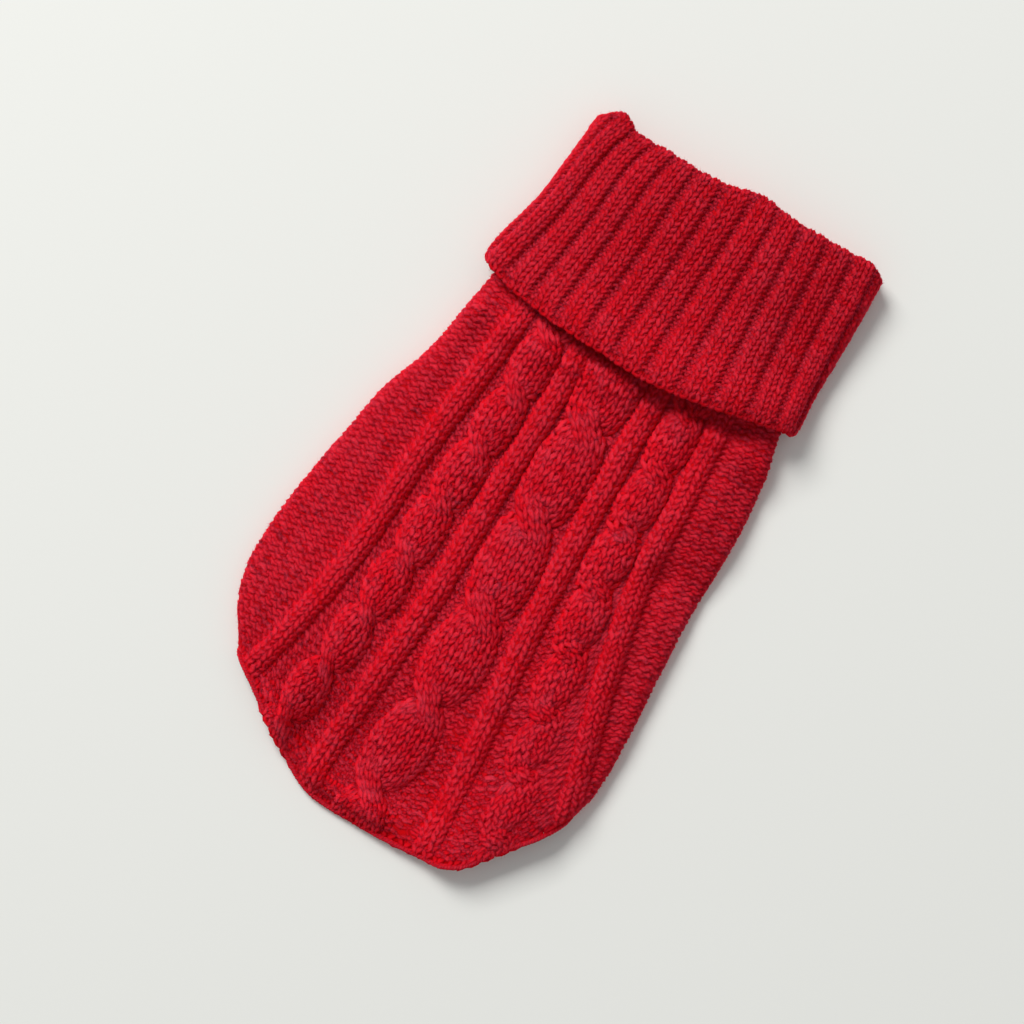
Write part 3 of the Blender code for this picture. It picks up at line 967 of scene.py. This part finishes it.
def backShell():
    # columns run from seam to seam: the bands' edges, steps between them, and the turned sides
    first, last, parts = shell["nearRib"]
    side = np.concatenate([np.arange(first, last) / parts, np.linspace(*shell["toSeam"])])
    step = np.array(shell["overBand"])
    lastEdge = 2.0 * len(bands) - 1.0
    columns = np.concatenate([-side[::-1]] + [2 * b + step for b in range(len(bands))])
    columns = np.concatenate([columns[:-2], lastEdge + side])
    rows = np.linspace(0.0, cut["courses"] + shell["pastHem"], shell["rows"])
    c, v = np.meshgrid(columns, rows)
    knots = [(2 * b + e, b, 2 * e - 1.0) for b in range(len(bands)) for e in (0, 1)]
    past = np.maximum(-c, c - lastEdge).clip(0.0, 1.0)
    turn = np.where(c < 0, -1.0, 1.0)
    y = courseY(hemAcross(knots, c) + turn * cut["sideCut"] * past, v)
    across = acrossAt(knots, c, y)
    for side in (-1.0, 1.0):
        seam = seamAcross(side, y) - side * cut["clothIn"]
        across = np.where(turn == side, across + (seam - across) * past, across)
    band = np.clip(c // 2, 0, len(bands) - 1).astype(int)
    inside = (c >= 0) & (c <= lastEdge) & (c - 2 * band <= 1.0)
    offset = 2 * (c - 2 * band) - 1.0
    top = ribRound(offset)
    for b in cableBands:
        narrowed = offset * bands[b]["half"] / cableHalf(b, v)
        sink = gutterSink(y) * rise(abs(narrowed), *shell["cableEdge"])
        top = np.where(band == b, cableHeight(b, narrowed, v) - shell["belowCable"] - sink, top)
    ribEdge = np.where(c < 0, acrossAt(knots, 0.0 * c, y), acrossAt(knots, 0.0 * c + lastEdge, y))
    beside = besideRib(abs(across - ribEdge) / waleWidth, y)
    raised = np.where(inside, top, np.where((c > 0) & (c < lastEdge), -gutterSink(y), beside))
    outer = relieved(raised * foldFade(across, y), y) - shell["below"]
    roll = hemRoll(v)
    inner = bodyPoint(across, y, (outer - shell["thick"]) * roll)
    return clothPiece("back_cloth", bodyPoint(across, y, outer * roll), inner)


def bellyShell():
    # a flat grid from seam to seam, counted from the right because it faces down
    columns, rows = shell["bellyGrid"]
    u = np.linspace(belly["wales"] - shell["bellyInset"], shell["bellyInset"], columns)
    u, v = np.meshgrid(u, np.linspace(0.0, cut["bellyCourses"] - shell["bellyShort"], rows))
    outer = np.full(u.shape, cut["wall"] - shell["below"])
    inner = bellyPlace(u, v, outer - shell["thick"])
    return clothPiece("belly_cloth", bellyPlace(u, v, outer), inner)


def collarShell():
    # the whole folded tube, from the edge over the top and down to the neck seam
    p = (np.arange(collar["ribs"])[:, None] + np.array(shell["overRib"])).ravel()[::-1]
    over = collar["foldCourses"] + collar["overCourses"]
    up = np.linspace(*shell["up"]) ** 2 * collar["foldCourses"]
    (overFrom, overRows), (downFrom, downRows) = shell["over"], shell["down"]
    turned = np.linspace(collar["foldCourses"] + overFrom, over, overRows)
    down = np.linspace(over + downFrom, over + collar["liningCourses"], downRows)
    p, w = np.meshgrid(p, np.concatenate([shell["atEdge"], up[up > shell["upFrom"]], turned, down]))
    outer = ribHeight(p % 1.0, w) - shell["below"]
    inner = collarPlace(p, w, outer - shell["thick"])
    return clothPiece("collar_cloth", collarPlace(p, w, outer), inner, around=True)


# unevenness of the twisted edges, how far they lean to the side, and its share in their tone
twist = {"shake": 0.08, "lean": 0.3, "tone": 5}


def chain(place, height, look):
    # two strands wound on each other along a line of the cloth, which place gives at a height:
    # centre + spread (cos a * side + sin a * up)
    line = place(height)
    up = place(height + look.get("upStep", stitch["upStep"])) - line
    length = np.linalg.norm(np.diff(line, axis=0, prepend=line[:1]), axis=1).cumsum()
    at = np.linspace(0.0, length[-1], int(look["turns"] * look["perTurn"]))
    path = np.stack([np.interp(at, length, line[:, k]) for k in range(3)], axis=-1)
    out = unit(np.stack([np.interp(at, length, up[:, k]) for k in range(3)], axis=-1))
    side = unit(np.cross(np.gradient(path, axis=0), out))
    angle = 2 * math.pi * look["turns"] * at / length[-1] + np.array([[0.0], [math.pi]])
    shake = np.random.default_rng(look["seed"]).normal(0.0, twist["shake"], (2, len(at)))
    spiral = np.cos(angle)[..., None] * side + np.sin(angle)[..., None] * out
    centre = path + look["spread"] * spiral
    outward = np.broadcast_to(out, centre.shape)
    return {
        "centre": centre,
        "up": outward + twist["lean"] * side,
        "outward": outward,
        "radius": look["radius"] * (1.0 + shake),
        "keep": np.ones(angle.shape, bool),
        "tone": shake * twist["tone"],
        # crown: painted highlight on each strand's outward side, painted shade on its inner side
        "crown": 0.5 * np.sin(angle),
    }


hem = {
    "turns": 104,
    "perTurn": 6,
    "radius": 0.8,
    "spread": 0.42,
    "seed": 31,
    "height": 1.0,
    "in": 0.9,
    "lower": 1.7,  # along the hem's flat middle it lies this much further out
    "lowerLeft": (-46.0, 26.0),
    "lowerRight": (62.0, -14.0),
    "points": 300,
    "fromSeam": 1.0,
}


def hemEdge():
    # the cast-off edge along the back's hem, from seam to seam
    atHem = np.linspace(hemLine[0][0], hemLine[-1][0], hem["points"])
    lowered = hem["lower"] * rise(atHem, *hem["lowerLeft"]) * rise(atHem, *hem["lowerRight"])
    y = curve(hemLine, atHem) + hem["in"] - lowered
    left, right = seamAcross(-1.0, y) + hem["fromSeam"], seamAcross(1.0, y) - hem["fromSeam"]
    inside = (atHem > left) & (atHem < right)
    atHem, y = atHem[inside], y[inside]
    return chain(lambda height: bodyPoint(atHem, y, height), hem["height"], hem)


bellyHem = {
    "turns": 21,
    "perTurn": 8,
    "radius": 0.8,
    "spread": 0.62,
    "seed": 32,
    "height": 0.75,
    "points": 60,
    "in": 0.4,
}


def bellyEdge():
    # the same along the belly's
    u = np.linspace(belly["inset"], belly["wales"] - belly["inset"], bellyHem["points"])
    v = np.full(u.shape, cut["bellyCourses"] - bellyHem["in"])
    return chain(lambda height: bellyPlace(u, v, height), bellyHem["height"], bellyHem)


seam = {
    "turns": 50,
    "perTurn": 5,
    "radius": 0.72,
    "spread": 0.55,
    "seed": 33,
    "height": 0.75,
    "bellyIn": 0.9,
    "ends": (-6.0, 1.0),  # from the neck and from the belly's hem
    "points": 120,
}


def seamEdge(side, onBelly):
    # the selvedge chain down one side of a seam, which stands open round the leg
    top, bottom = seam["ends"]
    y = np.linspace(cut["neckY"] + top, cut["underHemY"] + bottom, seam["points"])
    if onBelly:
        x = curve(seamLines, y, 1 if side < 0 else 2) - side * (legGap(y) + seam["bellyIn"])
        z = restHeight(y) + cut["wall"]
        return chain(lambda height: np.stack([x, y, z - height], axis=-1), seam["height"], seam)
    across = seamAcross(side, y) - side * cut["clothIn"]
    return chain(lambda height: bodyPoint(across, y, height), seam["height"], seam)


rim = {
    "turns": 96,
    "perTurn": 6,
    "radius": 0.7,
    "spread": 0.5,
    "seed": 36,
    "below": 2.0,
    "course": 0.35,
    "points": 400,
    "upStep": 0.5,
}


def collarEdgeChain():
    # the cast-off edge of the collar's outer fold
    p = np.linspace(0.0, collar["ribs"], rim["points"])
    w = np.full(p.shape, rim["course"])
    height = ribHeight(p % 1.0, w) - rim["below"]
    return chain(lambda height: collarPlace(p, w, height), height, rim)


nap = {
    "length": (0.7, 1.8),
    "radius": 0.06,
    "spread": 1.35,
    "aside": 0.9,
    "root": 0.9,  # of the yarn's radius
    "nudge": 0.01,  # so that a hair along the yarn still has a side
    # the hairs' crown paints them near bright, as a painted highlight
    "crown": 0.8,
    "onBack": 26000,
    "onCollar": 14000,
}


def napPiece(name, runs, count, seed):
    # loose hairs, each a three-sided spike on the yarn's outer half:
    # tip = root + length (outward + aside)
    random = np.random.default_rng(seed)
    centre = np.concatenate([run["centre"][run["keep"]] for run in runs])
    radius = np.concatenate([run["radius"][run["keep"]] for run in runs])
    outward = np.concatenate([run["outward"][run["keep"]] for run in runs])
    along = np.concatenate([unit(np.gradient(run["centre"], axis=1))[run["keep"]] for run in runs])
    tone = np.concatenate([run["tone"][run["keep"]] for run in runs])
    pick = random.integers(0, len(centre), count)
    side = unit(np.cross(along[pick], outward[pick]))
    turn = random.uniform(-nap["spread"], nap["spread"], count)[:, None]
    out = unit(np.cos(turn) * unit(outward[pick]) + np.sin(turn) * side)
    root = centre[pick] + (radius[pick] * nap["root"])[:, None] * out
    direction = unit(out + nap["aside"] * unit(random.normal(0.0, 1.0, (count, 3))))
    tip = root + random.uniform(*nap["length"], count)[:, None] * direction
    tip[:, 2] = np.maximum(tip[:, 2], stitch["lowest"])
    first = unit(np.cross(direction, along[pick] + nap["nudge"]))
    second = np.cross(direction, first)
    corner = 2 * math.pi * np.arange(3) / 3
    ring = np.cos(corner)[:, None] * first[:, None] + np.sin(corner)[:, None] * second[:, None]
    points = np.concatenate([root[:, None] + nap["radius"] * ring, tip[:, None]], axis=1)
    points = points.reshape(-1, 3)
    points[:, 2] = np.maximum(points[:, 2], stitch["lowest"])
    faces = np.array([[0, 1, 3], [1, 2, 3], [2, 0, 3], [2, 1, 0]])
    triangles = (4 * np.arange(count)[:, None, None] + faces).reshape(-1, 3)
    fields = {
        "tone": np.repeat(tone[pick], 4),
        "crown": np.full(4 * count, nap["crown"]),
        "outward": np.repeat(unit(outward[pick]), 4, axis=0),
    }
    return meshPiece(name, points, triangles, None, None, fields)


# Wool's colours, with painted shade between the stitches and painted highlight on the yarn's
# tops and the nap's tips, and its plies. The fuzz evens out the shading of the round yarn: its
# normal leans towards the cloth's own, except where a face looks inwards.
wool = {
    # deep is painted shade between the stitches, bright a painted highlight on the yarn's tops and
    # nap tips
    "deep": (0.63, 0.0003, 0.0024),  # between the stitches
    "body": (0.71, 0.0022, 0.0110),
    "bright": (0.79, 0.0360, 0.0710),  # on the tips of the nap
    "liftBase": 0.37,  # 0 is deep, 0.5 body and 1 bright
    # the crown's share: painted highlight on the yarn's tops and fronts, painted shade on its
    # undersides and backs
    "crownPaintedLight": 0.32,
    "liftTuft": 0.28,
    "liftStreak": 0.18,
    "liftPatch": 0.08,
    "liftTone": 0.03,
    "tuft": 1150.0,  # noise scales, to the metre
    "fibre": 2600.0,
    "patch": 34.0,
    # streaks follow the yarn's own coordinates: along its twist, round it and from stitch to stitch
    "streak": 2.0,
    "streakAlong": 1.6,
    "streakRound": 9.0,
    "streakTone": 7.0,
    "even": 3.0,
    "evenFrom": -0.6,
    "evenTo": -0.1,
    "bump": 0.4,
    "bumpDepth": 0.35 * mm,
}
# ply, and shade, which scales the colours: the ribbed collar is the same wool darkened as painted
# shade, the plain wool a little darker
pliesAndPaintedShade = {
    "redWoolCabled": {"ply": 0.5, "shade": 1.0},
    "redWoolPlain": {"ply": 0.45, "shade": 0.97},
    "redWoolRibbed": {"ply": 0.5, "shade": 0.86},
    # the cloth behind the stitches: deeper, purer red as painted shade in the gaps between them
    "redWoolBehind": {
        "ply": 0.0,
        "shade": 1.0,
        "body": (0.66, 0.0007, 0.0045),
        "bright": (0.70, 0.0025, 0.0110),
    },
}
shading = {
    "Roughness": 0.8,
    "Specular IOR Level": 0.07,
    "Sheen Weight": 0.02,
    "Sheen Roughness": 0.5,
    "Sheen Tint": (1.0, 0.16, 0.2, 1.0),
    "Subsurface Weight": 0.8,
    "Subsurface Radius": (1.0, 0.25, 0.25),
    "Subsurface Scale": 2.0 * mm,
}


def addNode(tree, kind, inputs=None, **settings):
    # an input is a value or another node's output
    node = tree.nodes.new(kind)
    for key, value in settings.items():
        setattr(node, key, value)
    for key, value in (inputs or {}).items():
        if isinstance(value, bpy.types.NodeSocket):
            tree.links.new(value, node.inputs[key])
        else:
            node.inputs[key].default_value = value
    return node


def maths(tree, operation, *values):
    return addNode(tree, "ShaderNodeMath", dict(enumerate(values)), operation=operation).outputs[0]


def vectorMaths(tree, operation, inputs):
    return addNode(tree, "ShaderNodeVectorMath", inputs, operation=operation).outputs


def noise(tree, vector, scale, detail):
    inputs = {"Vector": vector, "Scale": scale, "Detail": detail}
    return addNode(tree, "ShaderNodeTexNoise", inputs).outputs["Fac"]


def woolGroup():
    # colour by place in the stitch (painted shade low, painted highlight on top), by stitch, by
    # tuft and by patch; height by ply, fibre and tuft
    group = bpy.data.node_groups.new("woolYarn", "ShaderNodeTree")
    sockets = group.interface
    for label in ("Deep", "Body", "Bright"):
        socket = sockets.new_socket(name=label, in_out="INPUT", socket_type="NodeSocketColor")
        socket.default_value = (*wool[label.lower()], 1.0)
    sockets.new_socket(name="Ply", in_out="INPUT", socket_type="NodeSocketFloat")
    sockets.new_socket(name="Colour", in_out="OUTPUT", socket_type="NodeSocketColor")
    sockets.new_socket(name="Height", in_out="OUTPUT", socket_type="NodeSocketFloat")
    given = addNode(group, "NodeGroupInput").outputs
    place = addNode(group, "ShaderNodeTexCoord").outputs["Object"]
    tone = addNode(group, "ShaderNodeAttribute", attribute_name="tone").outputs["Fac"]
    crown = addNode(group, "ShaderNodeAttribute", attribute_name="crown").outputs["Fac"]
    pair = addNode(group, "ShaderNodeUVMap").outputs["UV"]
    along, around = addNode(group, "ShaderNodeSeparateXYZ", {0: pair}).outputs[:2]
    fibre = noise(group, place, wool["fibre"], 3.0)
    tuft = noise(group, place, wool["tuft"], 3.0)
    patch = noise(group, place, wool["patch"], 2.0)
    # streaks run along the plies, which wind round the yarn
    streaks = addNode(group, "ShaderNodeCombineXYZ", {
        "X": maths(group, "MULTIPLY", along, wool["streakAlong"]),
        "Y": maths(group, "MULTIPLY_ADD", around, wool["streakRound"], along),
        "Z": maths(group, "MULTIPLY", tone, wool["streakTone"]),
    })
    streak = noise(group, streaks.outputs["Vector"], wool["streak"], 2.0)
    # painted light: the crown lifts the yarn's tops towards bright and sinks its undersides and the
    # gaps towards deep
    lift = maths(group, "MULTIPLY_ADD", crown, wool["crownPaintedLight"], wool["liftBase"])
    for field, weight in ((tuft, "liftTuft"), (streak, "liftStreak"), (patch, "liftPatch")):
        uneven = maths(group, "SUBTRACT", field, 0.5)
        lift = maths(group, "MULTIPLY_ADD", uneven, wool[weight], lift)
    lift = maths(group, "MULTIPLY_ADD", tone, wool["liftTone"], lift)
    low = addNode(group, "ShaderNodeMix", data_type="RGBA")
    high = addNode(group, "ShaderNodeMix", data_type="RGBA")
    group.links.new(maths(group, "MULTIPLY", lift, 2.0), low.inputs["Factor"])
    group.links.new(given["Deep"], low.inputs["A"])
    group.links.new(given["Body"], low.inputs["B"])
    group.links.new(maths(group, "MULTIPLY_ADD", lift, 2.0, -1.0), high.inputs["Factor"])
    group.links.new(low.outputs["Result"], high.inputs["A"])
    group.links.new(given["Bright"], high.inputs["B"])
    wound = maths(group, "MULTIPLY_ADD", around, 2.0, along)
    ply = maths(group, "SINE", maths(group, "MULTIPLY", wound, 2 * math.pi))
    height = maths(group, "MULTIPLY_ADD", ply, given["Ply"], fibre)
    height = maths(group, "ADD", maths(group, "ADD", height, streak), tuft)
    addNode(group, "NodeGroupOutput", {"Colour": high.outputs["Result"], "Height": height})
    return group


def evenNormal(tree):
    # normal + even * outward, for faces that look outwards
    outward = addNode(tree, "ShaderNodeAttribute", attribute_name="outward").outputs["Vector"]
    normal = addNode(tree, "ShaderNodeNewGeometry").outputs["Normal"]
    share = addNode(tree, "ShaderNodeMapRange", {
        "Value": vectorMaths(tree, "DOT_PRODUCT", {0: outward, 1: normal})["Value"],
        "From Min": wool["evenFrom"],
        "From Max": wool["evenTo"],
        "To Max": wool["even"],
    }, interpolation_type="SMOOTHSTEP").outputs["Result"]
    weighed = vectorMaths(tree, "SCALE", {0: outward, "Scale": share})[0]
    total = vectorMaths(tree, "ADD", {0: weighed, 1: normal})[0]
    return vectorMaths(tree, "NORMALIZE", {0: total})[0]


def woolMaterial(name, group):
    material = bpy.data.materials.new(name)
    material.use_nodes = True
    tree = material.node_tree
    shader = tree.nodes["Principled BSDF"]
    for key, value in shading.items():
        shader.inputs[key].default_value = value
    woolKind = pliesAndPaintedShade[name]
    yarn = addNode(tree, "ShaderNodeGroup", node_tree=group)
    yarn.inputs["Ply"].default_value = woolKind["ply"]
    # the shade factor darkens the colours as painted shade, most on the collar's ribs
    for label in ("Deep", "Body", "Bright"):
        colour = np.array(woolKind.get(label.lower(), wool[label.lower()])) * woolKind["shade"]
        yarn.inputs[label].default_value = (*colour, 1.0)
    bump = addNode(tree, "ShaderNodeBump", {
        "Normal": evenNormal(tree),
        "Height": yarn.outputs["Height"],
        "Strength": wool["bump"],
        "Distance": wool["bumpDepth"],
    })
    tree.links.new(yarn.outputs["Colour"], shader.inputs["Base Color"])
    tree.links.new(bump.outputs["Normal"], shader.inputs["Normal"])
    return material


yarnGroup = woolGroup()
materials = {name: woolMaterial(name, yarnGroup) for name in pliesAndPaintedShade}


def dress(piece, slot, woolKind):
    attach(piece, "root")
    piece.data.materials.append(materials[woolKind])
    return piece


def knitted(name, runs, sides, slot, woolKind):
    return dress(yarnPiece(name, runs, sides), slot, woolKind)


# points to a stitch and sides of the yarn: where it shows best, on the plain sides and belly, and
# on the collar's rear
finePoints, plainPoints, rearPoints = 10, 7, 6
fineSides, plainSides = 5, 4
backLook, collarLook = ("cable_knit", "redWoolCabled"), ("rib_knit", "redWoolRibbed")

print("back: stitches between the cables")
leftRuns = [
    stripRun(strips[0], (8, 21), finePoints, 1), stripRun(strips[1], (0, 9), finePoints, 2),
]
rightRuns = [
    stripRun(strips[2], (0, 9), finePoints, 3), stripRun(strips[3], (0, 13), finePoints, 4),
]
sideRuns = [
    stripRun(strips[0], (0, 8), plainPoints, 5), stripRun(strips[3], (13, 19), plainPoints, 6),
]
leftKnit = knitted("back_left_knit", leftRuns, fineSides, *backLook)
rightKnit = knitted("back_right_knit", rightRuns, fineSides, *backLook)
sideKnit = knitted("back_side_knit", sideRuns, plainSides, *backLook)

print("back: cables")
cableRuns = [
    strandRun(band, strand, finePoints, 10 + 2 * band + strand)
    for band in cableBands for strand in (1, -1)
]
cables = knitted("back_cables", cableRuns, fineSides, *backLook)

print("belly: stitches")
bellyRuns = [bellyRun(plainPoints, 20)]
bellyKnit = knitted("belly_knit", bellyRuns, plainSides, "plain_knit", "redWoolPlain")

print("collar: ribs")
leftRibRuns = [collarRun((-4, 22), finePoints, 21)]
rightRibRuns = [collarRun((22, 48), finePoints, 22)]
rearRibRuns = [collarRun((48, 92), rearPoints, 23)]
leftRibs = knitted("collar_left_ribs", leftRibRuns, fineSides, *collarLook)
rightRibs = knitted("collar_right_ribs", rightRibRuns, fineSides, *collarLook)
rearRibs = knitted("collar_rear_ribs", rearRibRuns, plainSides, *collarLook)

print("edges and seams")
hemPiece = knitted("hem_edge", [hemEdge(), bellyEdge()], fineSides, *backLook)
seamRuns = [seamEdge(side, onBelly) for side in (-1.0, 1.0) for onBelly in (True, False)]
seamPiece = knitted("side_seams", seamRuns, plainSides, "cable_knit", "redWoolPlain")
rimPiece = knitted("collar_edge", [collarEdgeChain()], fineSides, *collarLook)

print("nap")
backNap = napPiece("back_nap", leftRuns + rightRuns + cableRuns, nap["onBack"], 51)
dress(backNap, *backLook)
collarNap = napPiece("collar_nap", leftRibRuns + rightRibRuns, nap["onCollar"], 52)
dress(collarNap, *collarLook)

print("cloth behind the stitches")
backCloth = dress(backShell(), "cable_knit", "redWoolBehind")
bellyCloth = dress(bellyShell(), "plain_knit", "redWoolBehind")
collarCloth = dress(collarShell(), "rib_knit", "redWoolBehind")
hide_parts("back")
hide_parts("belly")
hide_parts("collar")


floor = {"half": 3.0, "below": 0.0002, "colour": (0.85, 0.85, 0.80, 1.0), "roughness": 0.7}


def paperFloor():
    # one large plain square, a hair below the garment
    half, z = floor["half"], cadLow[2] - floor["below"]
    mesh = bpy.data.meshes.new("floor")
    corners = [(-half, -half, z), (half, -half, z), (half, half, z), (-half, half, z)]
    mesh.from_pydata(corners, [], [(0, 1, 2, 3)])
    paper = bpy.data.materials.new("paper")
    paper.use_nodes = True
    shader = paper.node_tree.nodes["Principled BSDF"]
    shader.inputs["Base Color"].default_value = floor["colour"]
    shader.inputs["Roughness"].default_value = floor["roughness"]
    mesh.materials.append(paper)
    piece = bpy.data.objects.new("floor", mesh)
    bpy.context.scene.collection.objects.link(piece)


light = {
    "energy": 154.0,
    "size": 1.8,
    "place": (-2.59, 1.7, 2.6),
    "room": (0.95, 0.97, 1.0, 1.0),
    "roomStrength": 0.385,
}


def softLight():
    # one broad lamp as from a window, and an even pale room
    data = bpy.data.lights.new("window", "AREA")
    data.energy, data.size = light["energy"], light["size"]
    lamp = bpy.data.objects.new("window", data)
    lamp.location = light["place"]
    lamp.rotation_euler = (-Vector(light["place"])).to_track_quat("-Z", "Y").to_euler()
    bpy.context.scene.collection.objects.link(lamp)
    world = bpy.data.worlds.new("room")
    world.use_nodes = True
    world.node_tree.nodes["Background"].inputs["Color"].default_value = light["room"]
    world.node_tree.nodes["Background"].inputs["Strength"].default_value = light["roomStrength"]
    bpy.context.scene.world = world
    bpy.context.scene.view_settings.view_transform = "Standard"


# the camera looks straight down, turned so that the sweater lies aslant
view = {"centre": (-1.5, -9.8), "up": (-0.482, 0.876), "field": 409.6, "distance": 900.0}


def cameraAbove():
    camera = bpy.data.objects.new("camera", bpy.data.cameras.new("camera"))
    bpy.context.scene.collection.objects.link(camera)
    bpy.context.scene.camera = camera
    upward = Vector((*view["up"], 0.0)).normalized()
    outward = Vector((0.0, 0.0, 1.0))
    turned = Matrix((upward.cross(outward), upward, outward)).transposed().to_4x4()
    place = Vector((*view["centre"], view["distance"])) * mm
    camera.matrix_world = Matrix.Translation(place) @ turned
    camera.data.lens = camera.data.sensor_width * view["distance"] / view["field"]
    camera.data.clip_start, camera.data.clip_end = 0.01, 10.0


print("floor, light and camera")
paperFloor()
softLight()
cameraAbove()
